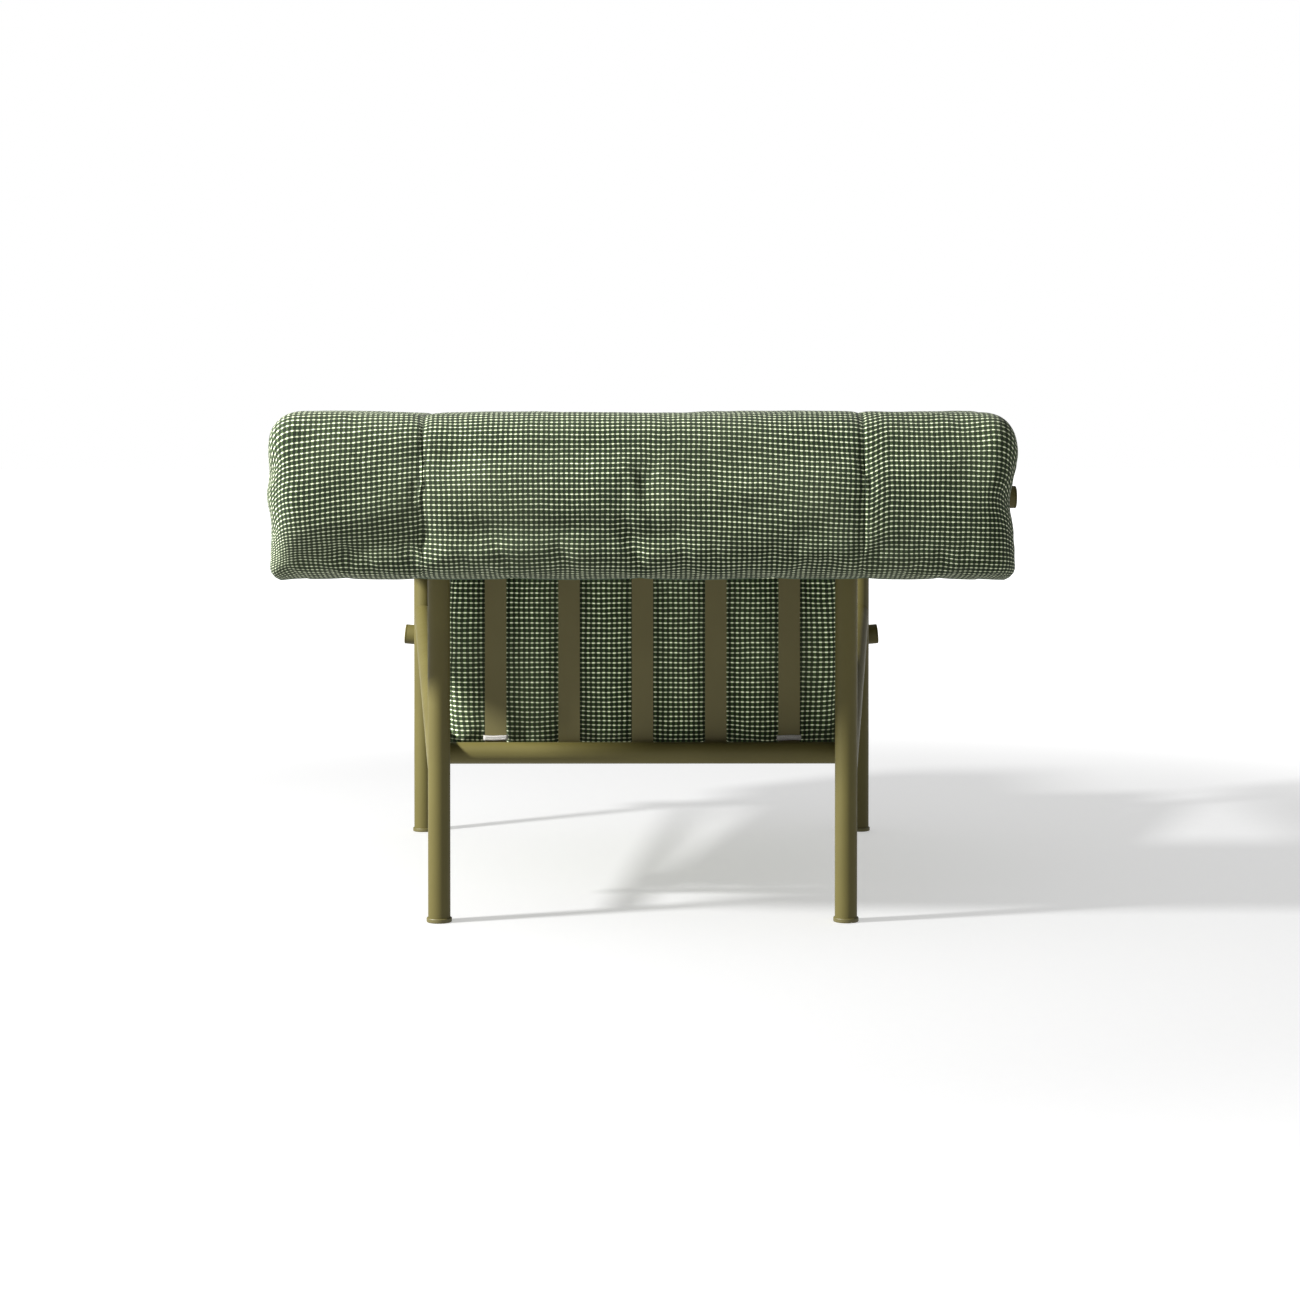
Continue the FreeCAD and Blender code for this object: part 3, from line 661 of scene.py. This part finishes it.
def make_back_quilt():
    """A quilt folded over the top rail. It has a flap behind the rail, a roof forward to the back rail,
    and a front flap outside each arm rail."""
    half = quilt_high[0] + 6 * MM
    top = quilt_high[2] - 7 * MM
    rear, front = quilt_low[1] + 4 * MM, quilt_high[1]
    hem = quilt_low[2] - 5 * MM
    sill = rail_high[2] + CLEAR
    flap_in = rail_low[1] - CLEAR
    slot_front = rail_high[1] + CLEAR
    turn = 40 * MM
    rail_z = (rail_low[2] + rail_high[2]) / 2

    def section(x):
        """The outer and inner outlines at x, with the radii of their corners."""
        drop = smooth_step(abs(x), arm_high[0] + 4 * MM, arm_high[0] + 24 * MM)
        front_hem = (1 - drop) * (top + sill) / 2 + drop * hem
        in_front = (1 - drop) * (front - 3 * MM) + drop * slot_front
        in_hem = (1 - drop) * (sill + 12 * MM) + drop * hem
        out = [(rear + 16 * MM, hem), (rear, hem + 125 * MM), (rear, top), (front, top), (front, front_hem)]
        into = [(flap_in, hem), (flap_in, sill), (in_front, sill), (in_front, in_hem)]
        return out, [60 * MM, turn, turn], into, [5 * MM, 5 * MM]

    xs = stations(-half, half, 7.6 * MM, (-SEAM_X, SEAM_X), 42 * MM)
    # The rear flap and the roof have the same rows all the way across; only the front part changes.
    whole = length_along(np.array(rounded(*section(half)[:2])))[-1]
    shared = whole - (top - hem - turn) - turn * math.pi / 2
    split = (round(QUILT_ROWS * shared / whole), shared)
    outer, inner = fold_grid(xs, QUILT_ROWS, section, 0, split)
    outer, inner = shape_pad(outer, inner, 44 * MM, 30 * MM, 2.6, 2.4)
    round_corners(outer, inner, 0, 18 * MM)

    def slant(u, v):
        """The cloth is cut on a slant at the left end, and its rows drop towards both ends."""
        past_left = np.maximum(-SEAM_X - u, 0.0)
        past_right = np.maximum(u - SEAM_X, 0.0)
        free = smooth_step(v, 50 * MM, 110 * MM) * (1 - 0.5 * smooth_step(v, 190 * MM, 270 * MM))
        drop = 0.135 * past_left + 0.020 * past_right
        drop += 0.35 * np.maximum(past_left - 182 * MM, 0.0) ** 2 / (60 * MM)
        drop += 0.35 * np.maximum(past_right - 182 * MM, 0.0) ** 2 / (60 * MM)
        at = np.clip((u + SEAM_X) / (2 * SEAM_X), 0.0, 1.0)
        drop += 12 * MM * smooth_step(at, 0.55, 1.0) * (1 - smooth_step(u, SEAM_X, SEAM_X + 30 * MM))
        return drop * free

    made = sewn_pad("back_quilt_cover", outer, inner, quilt_cloth, slant)
    total = len(made.data.vertices)
    billow(made, 7 * MM, 4.0, -0.02, held_inner(outer.shape, total))
    points = coordinates(made)
    n, m = outer.shape[:2]
    on_outer = np.zeros(total)
    fullness = np.minimum(1.0, np.linalg.norm(outer - inner, axis=2) / (70 * MM)).ravel()
    on_outer[: n * m] = fullness
    out = normals(made)
    depth = 3.2 * MM * drift(points, 0.13, 1) + 1.3 * MM * drift(points, 0.05, 2)
    # Long soft drag lines and hollows on the rear flap.
    rear_face = np.clip((rear + 50 * MM - points[:, 1]) / (15 * MM), 0.0, 1.0)
    for x, above_hem, wide, tall, down in HOLLOWS:
        place = (x * MM, quilt_low[2] + above_hem * MM)
        depth -= down * MM * soft_bump(points, (0, 2), place, (wide * MM, tall * MM)) * rear_face
    # One long fold runs down towards the lower left corner.
    fold_from = np.array([-SEAM_X - 10 * MM, hem + 54 * MM])
    fold_to = np.array([-half + 24 * MM, hem + 25 * MM])
    run = fold_to - fold_from
    flat = points[:, [0, 2]] - fold_from
    t = np.clip(flat @ run / (run @ run), 0.0, 1.0)
    away = np.linalg.norm(flat - t[:, None] * run, axis=1)
    depth -= 12.0 * MM * np.exp(-((away / (30 * MM)) ** 2)) * rear_face
    # Seams across the quilt, with small puckers beside them.
    for seam in (-SEAM_X, SEAM_X):
        off = np.abs(points[:, 0] - seam)
        ripple = np.sin(points[:, 2] / (6.5 * MM) + points[:, 1] / (6.5 * MM) + seam * 40)
        depth += 0.5 * MM * ripple * np.exp(-off / (16 * MM)) * (off > 3 * MM)
        depth -= 3.0 * MM * np.exp(-((off / (1.9 * MM)) ** 2))
        depth -= 1.2 * MM * np.exp(-((off / (14 * MM)) ** 2))
    points = points + out * (depth * on_outer)[:, None]
    # The ends are waisted at half height, more on the right, where the rail's end shows.
    side = np.sign(points[:, 0])
    near_end = smooth_step(np.abs(points[:, 0]), half - 70 * MM, half)
    waist = np.exp(-(((points[:, 2] - rail_z + 22 * MM) / (55 * MM)) ** 2))
    rail_gap = np.exp(-(((points[:, 2] - rail_z - 1 * MM) / (24 * MM)) ** 2))
    pull = 4.0 * MM * waist + np.where(side > 0, 7.0, -5.0) * MM * rail_gap
    points[:, 0] -= side * pull * near_end
    set_coordinates(made, points)
    finish_pad(made, outer.shape, "frame", "back_quilt")


def make_arm_quilt(side, node):
    """A quilt folded over an arm rail, with one flap each side of it."""
    hem, top = armpad_low[2], armpad_high[2] - 5 * MM
    far, near = armpad_high[0], armpad_low[0]
    back, tip = armpad_low[1], armpad_high[1]
    sill = arm_high[2] + CLEAR
    slot_far, slot_near = arm_high[0] + CLEAR, arm_low[0] - CLEAR
    turn = 42 * MM

    def section(y):
        """The outer and inner outlines at y, with the radii of their corners."""
        beside = 1 - smooth_step(y, back_high[1] - 6 * MM, back_high[1] + 20 * MM)
        inside = near + 3 * MM + beside * (back_high[0] + 1.5 * MM - near - 3 * MM)
        out = [(far - 3 * MM, hem), (far - 3 * MM, top), (inside, top), (inside, hem)]
        into = [(slot_far, hem), (slot_far, sill), (slot_near, sill), (slot_near, hem)]
        return out, [turn, turn], into, [6 * MM, 6 * MM]

    ys = stations(back, tip, 8.5 * MM, (), 42 * MM)
    outer, inner = fold_grid(ys, 84, section, 1)
    outer, inner = shape_pad(outer, inner, 42 * MM, 30 * MM, 2.6, 2.4)
    round_corners(outer, inner, 1, 18 * MM)
    made = sewn_pad(node + "_cover", outer, inner, quilt_cloth)
    total = len(made.data.vertices)
    billow(made, 7 * MM, 4.0, -0.02, held_inner(outer.shape, total))
    points = coordinates(made)
    out = normals(made)
    n, m = outer.shape[:2]
    on_outer = np.zeros(total)
    on_outer[: n * m] = np.minimum(1.0, np.linalg.norm(outer - inner, axis=2) / (70 * MM)).ravel()
    depth = 3.0 * MM * drift(points, 0.12, 3 if side > 0 else 4)
    depth += 1.2 * MM * drift(points, 0.045, 5)
    off_seam = np.abs(points[:, 1] - (tip - 190 * MM))
    depth -= 4.0 * MM * np.exp(-((off_seam / (3.5 * MM)) ** 2))
    points = points + out * (depth * on_outer)[:, None]
    keep_in = near - 0.7 * MM
    wall = np.where(points[:, 1] < back_high[1] + CLEAR, back_high[0] + CLEAR, keep_in)
    points[:, 0] = np.maximum(points[:, 0], wall)
    points[:, 1] = np.maximum(points[:, 1], back)
    points[:, 0] *= side
    set_coordinates(made, points)
    if side < 0:
        made.data.flip_normals()
    finish_pad(made, outer.shape, "frame", node)


def make_back_cushion():
    """A soft upright cushion. Its rear swells between the slats, and its foot sinks between them."""
    half = back_high[0] + 5 * MM
    foot_z = back_low[2] - 8 * MM
    xs = stations(-half, half, 7.5 * MM, (), 30 * MM)
    zs = stations(foot_z, back_high[2] - 3 * MM, 8 * MM, (), 30 * MM)
    rear, front = back_low[1] + 1 * MM, back_high[1] - 2 * MM
    outer = np.zeros((len(xs), len(zs), 3))
    outer[:, :, 0] = xs[:, None]
    outer[:, :, 2] = zs[None, :]
    inner = outer.copy()
    outer[:, :, 1] = rear
    inner[:, :, 1] = front
    middle = (zs[0] + zs[-1]) / 2
    height = (zs - middle) / (zs[-1] - middle)
    width = xs / xs[-1]
    squeeze = np.where(height > 0, 1 - 0.016 * (1 - (2 * height - 1) ** 2), 1.0)
    drop = 1 - 0.020 * (1 - width**2)
    for grid in (outer, inner):
        grid[:, :, 0] *= squeeze[None, :]
        lowered = np.where(height[None, :] > 0, drop[:, None], 1.0)
        grid[:, :, 2] = middle + (grid[:, :, 2] - middle) * lowered
    outer, inner = shape_pad(outer, inner, 26 * MM, 28 * MM, 3.0, 3.0)
    round_corners(outer, inner, 0, 12 * MM)
    made = sewn_pad("back_cushion_cover", outer, inner, painted_light_seat_cloth)
    made.data.flip_normals()
    billow(made, 8 * MM, 4.5, -0.02)
    points = coordinates(made)
    out = normals(made)
    depth = 2.2 * MM * drift(points, 0.11, 6) + 1.0 * MM * drift(points, 0.04, 7)
    points = points + out * depth[:, None]
    gap = np.min([np.abs(points[:, 0] - x) for x in SLAT_X], axis=0) - SLAT_HALF
    between = smooth_step(gap, -4 * MM, 30 * MM)
    below_roof = 1 - smooth_step(points[:, 2], rail_low[2] - 10 * MM, rail_high[2] - 5 * MM)
    near_rear = np.clip((back_low[1] + 48.9 * MM - points[:, 1]) / (46 * MM), 0, 1)
    points[:, 1] -= near_rear * between * below_roof * 8 * MM
    furthest = back_low[1] + 0.5 * MM - between * below_roof * 9 * MM
    points[:, 1] = np.clip(points[:, 1], furthest, back_high[1] - 0.3 * MM)
    below_arms = 1 - smooth_step(points[:, 2], armpad_low[2] - 21 * MM, armpad_low[2] - 3 * MM)
    near_side = smooth_step(np.abs(points[:, 0]), back_high[0] - 37 * MM, back_high[0] - 4 * MM)
    points[:, 0] += np.sign(points[:, 0]) * 5 * MM * below_arms * near_side
    widest = back_high[0] + 8 * MM * below_arms
    points[:, 0] = np.clip(points[:, 0], -widest, widest)
    before_foot = points[:, 2].copy()
    foot = 1 - smooth_step(points[:, 2], foot_z, foot_z + 60 * MM)
    clear_of_slat = smooth_step(gap, -6 * MM, 0.5 * MM)
    points[:, 2] -= foot * 22 * MM * clear_of_slat
    lowest = np.where(clear_of_slat > 0.5, back_low[2] - 26 * MM, 0.0)
    points[:, 2] = np.maximum(points[:, 2], lowest)
    shift_rows(made, points[:, 2] - before_foot)
    set_coordinates(made, points)
    finish_pad(made, outer.shape, "frame", "back_cushion")


def make_seat_cushion():
    """A thick seat cushion that lies on the slats and slopes down to the back."""
    clear = 1.5 * MM
    xs = stations(seat_low[0] + clear, seat_high[0] - clear, 8 * MM, (), 40 * MM)
    ys = stations(seat_low[1] + clear, seat_high[1] - 2 * MM, 8.5 * MM, (), 40 * MM)
    slope = (seat_high[2] - seat_low[2] - SEAT_THICK) / (seat_high[1] - seat_low[1])
    rise = (ys - seat_low[1]) * slope
    outer = np.zeros((len(xs), len(ys), 3))
    outer[:, :, 0] = xs[:, None]
    outer[:, :, 1] = ys[None, :]
    inner = outer.copy()
    outer[:, :, 2] = seat_low[2] + rise[None, :] + SEAT_THICK - 10 * MM
    inner[:, :, 2] = seat_low[2] + rise[None, :]
    crown_x = 1 - (xs / xs[-1]) ** 2
    crown_y = 1 - ((ys - ys.mean()) / (ys[-1] - ys.mean())) ** 2
    outer[:, :, 2] += 8 * MM * crown_x[:, None] * crown_y[None, :]
    outer, inner = shape_pad(outer, inner, 44 * MM, 44 * MM, 2.7, 2.7)
    made = sewn_pad("seat_cushion_cover", outer, inner, painted_light_seat_cloth)
    billow(made, 8 * MM, 4.0, -0.02, held_inner(outer.shape, len(made.data.vertices), 0.9, 0.3))
    points = coordinates(made)
    out = normals(made)
    upper = (out[:, 2] > -0.3).astype(float)
    depth = 2.6 * MM * drift(points, 0.14, 8) + 1.0 * MM * drift(points, 0.05, 9)
    points = points + out * (depth * upper)[:, None]
    points[:, 0] = np.clip(points[:, 0], seat_low[0] + 0.2 * MM, seat_high[0] - 0.2 * MM)
    points[:, 1] = np.clip(points[:, 1], seat_low[1] + 0.3 * MM, seat_high[1] + 6 * MM)
    gap = np.min([np.abs(points[:, 0] - x) for x in SLAT_X], axis=0) - SLAT_HALF
    under = (out[:, 2] < -0.2) * smooth_step(gap, 0.0, 18 * MM)
    points[:, 2] -= 7 * MM * under
    set_coordinates(made, points)
    finish_pad(made, outer.shape, "cushion", "seat_cushion")


def make_strap(side, node):
    """A webbing loop round an outer slat, just above the cross rail."""
    low, high = size_of(node)
    middle_x = (low[0] + high[0]) / 2
    middle_y = (low[1] + high[1]) / 2
    reach_x = (high[0] - low[0]) / 2 - 0.8 * MM
    reach_y = (high[1] - low[1]) / 2 - 0.8 * MM
    height = high[2] - low[2]
    corners = [
        (0, -reach_y),
        (reach_x, -reach_y),
        (reach_x, reach_y),
        (-reach_x, reach_y),
        (-reach_x, -reach_y),
        (0, -reach_y),
    ]
    path = resample(rounded(corners, [2.5 * MM] * 4, 6), 72)[:-1]
    count = len(path)
    across = np.linspace(0.0, 1.0, 7)
    points, faces, places = [], [], []
    run = length_along(np.vstack([path, path[:1]]))
    for layer, swell in ((0, 0.8 * MM), (1, -0.8 * MM)):
        for k, (x, y) in enumerate(path):
            before, after = path[k - 1], path[(k + 1) % count]
            way = after - before
            way = way / np.linalg.norm(way)
            out = np.array([way[1], -way[0]])
            sag = 1.0 * MM * math.sin(x / reach_x * 2.2 + side)
            for f in across:
                edge = edge_profile(np.array(min(f, 1 - f)), 0.16, 2.2)
                px, py = np.array([x, y]) + out * swell * float(0.45 + 0.55 * edge)
                z = low[2] + 0.3 * MM + f * (height - 0.6 * MM) + sag * 0.4
                points.append((middle_x + px, middle_y + py, z))
    step = len(across)

    def at(layer, k, j):
        """The number of a point: its layer, its place round the loop and its place across the tape."""
        return (layer * count + k % count) * step + j

    for k in range(count):
        for j in range(step - 1):
            ring = [(k, j), (k + 1, j), (k + 1, j + 1), (k, j + 1)]
            for layer, order in ((0, ring), (1, [ring[0], ring[3], ring[2], ring[1]])):
                faces.append([at(layer, *corner) for corner in order])
                places.extend((run[a], across[b] * height) for a, b in order)
        for j, turn in ((0, 1), (step - 1, 0)):
            ring = [at(0, k, j), at(1, k, j), at(1, k + 1, j), at(0, k + 1, j)]
            spots = [(run[k], 0.0), (run[k], 0.0008), (run[k + 1], 0.0008), (run[k + 1], 0.0)]
            if not turn:
                ring.reverse()
                spots.reverse()
            faces.append(ring)
            places.extend(spots)
    mesh = bpy.data.meshes.new(node + "_tape")
    mesh.from_pydata(points, [], faces)
    layer = mesh.uv_layers.new(name=FABRIC_UV)
    layer.data.foreach_set("uv", np.array(places, np.float32).ravel())
    mesh.materials.append(strap_cloth)
    mesh.polygons.foreach_set("use_smooth", [True] * len(mesh.polygons))
    made = bpy.data.objects.new(node + "_tape", mesh)
    scene.collection.objects.link(made)
    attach(made, "frame")
    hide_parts(node)


# ---------------------------------------------------------------- camera, light and floor


def add_camera():
    """The camera behind the chair, level with the top of the quilt."""
    data = bpy.data.cameras.new("photo_camera")
    data.sensor_width = 36.0
    data.lens = 73.1
    data.shift_y = -0.1435
    camera = bpy.data.objects.new("photo_camera", data)
    camera.location = (-0.0082, -3.8876, 0.6767)
    camera.rotation_euler = (math.radians(89.0), 0.0, -0.0051)
    scene.collection.objects.link(camera)
    scene.camera = camera


def add_light(name, place, target, power, size):
    """A round area light that is aimed at the target."""
    data = bpy.data.lights.new(name, "AREA")
    data.energy = power
    data.shape = "DISK"
    data.size = size
    light = bpy.data.objects.new(name, data)
    light.location = place
    light.rotation_euler = (Vector(target) - Vector(place)).to_track_quat("-Z", "Y").to_euler()
    scene.collection.objects.link(light)
    return light


def add_floor():
    """A wide sheet of paper under the chair."""
    mesh = bpy.data.meshes.new("floor")
    reach = 30.0
    mesh.from_pydata(
        [(-reach, -reach, 0), (reach, -reach, 0), (reach, reach, 0), (-reach, reach, 0)],
        [],
        [(0, 1, 2, 3)],
    )
    mesh.materials.append(floor_paint)
    floor = bpy.data.objects.new("floor", mesh)
    scene.collection.objects.link(floor)
    return floor


def light_only(light, *objects, leave_out=False):
    """Light linking: the light falls on these objects only, or on all but these."""
    group = bpy.data.collections.new(light.name + "_receivers")
    for made in objects:
        group.objects.link(made)
    for entry in group.collection_objects:
        entry.light_linking.link_state = "EXCLUDE" if leave_out else "INCLUDE"
    light.light_linking.receiver_collection = group


add_camera()
paper = add_floor()
KEY_PLACE = (-2.74, -1.19, 2.255)
KEY_TARGET = (0, 0, 0.3)
KEY_SIZE = 0.36
KEY_POWER = 455.0
PAPER_KEY_POWER = 95.0
WORLD_FILL = 0.35
WORLD_SEEN = 1.0
# The same key falls more weakly on the paper, so that the shadow stays pale.
key = add_light("key", KEY_PLACE, KEY_TARGET, KEY_POWER, KEY_SIZE)
light_only(key, paper, leave_out=True)
key_on_paper = add_light("key_on_paper", KEY_PLACE, KEY_TARGET, PAPER_KEY_POWER, KEY_SIZE)
light_only(key_on_paper, paper)

world = bpy.data.worlds.new("studio")
world.use_nodes = True
backdrop = world.node_tree.nodes["Background"]
backdrop.inputs["Color"].default_value = grey(1.0)
ray = world.node_tree.nodes.new("ShaderNodeLightPath")
level = world.node_tree.nodes.new("ShaderNodeMapRange")
level.inputs["To Min"].default_value = WORLD_FILL
level.inputs["To Max"].default_value = WORLD_SEEN
world.node_tree.links.new(ray.outputs["Is Camera Ray"], level.inputs["Value"])
world.node_tree.links.new(level.outputs["Result"], backdrop.inputs["Strength"])
scene.world = world
scene.view_settings.view_transform = "Standard"

make_back_quilt()
make_arm_quilt(1, "arm_quilt_right")
make_arm_quilt(-1, "arm_quilt_left")
make_back_cushion()
make_seat_cushion()
make_strap(-1, "hem_strap_left")
make_strap(1, "hem_strap_right")
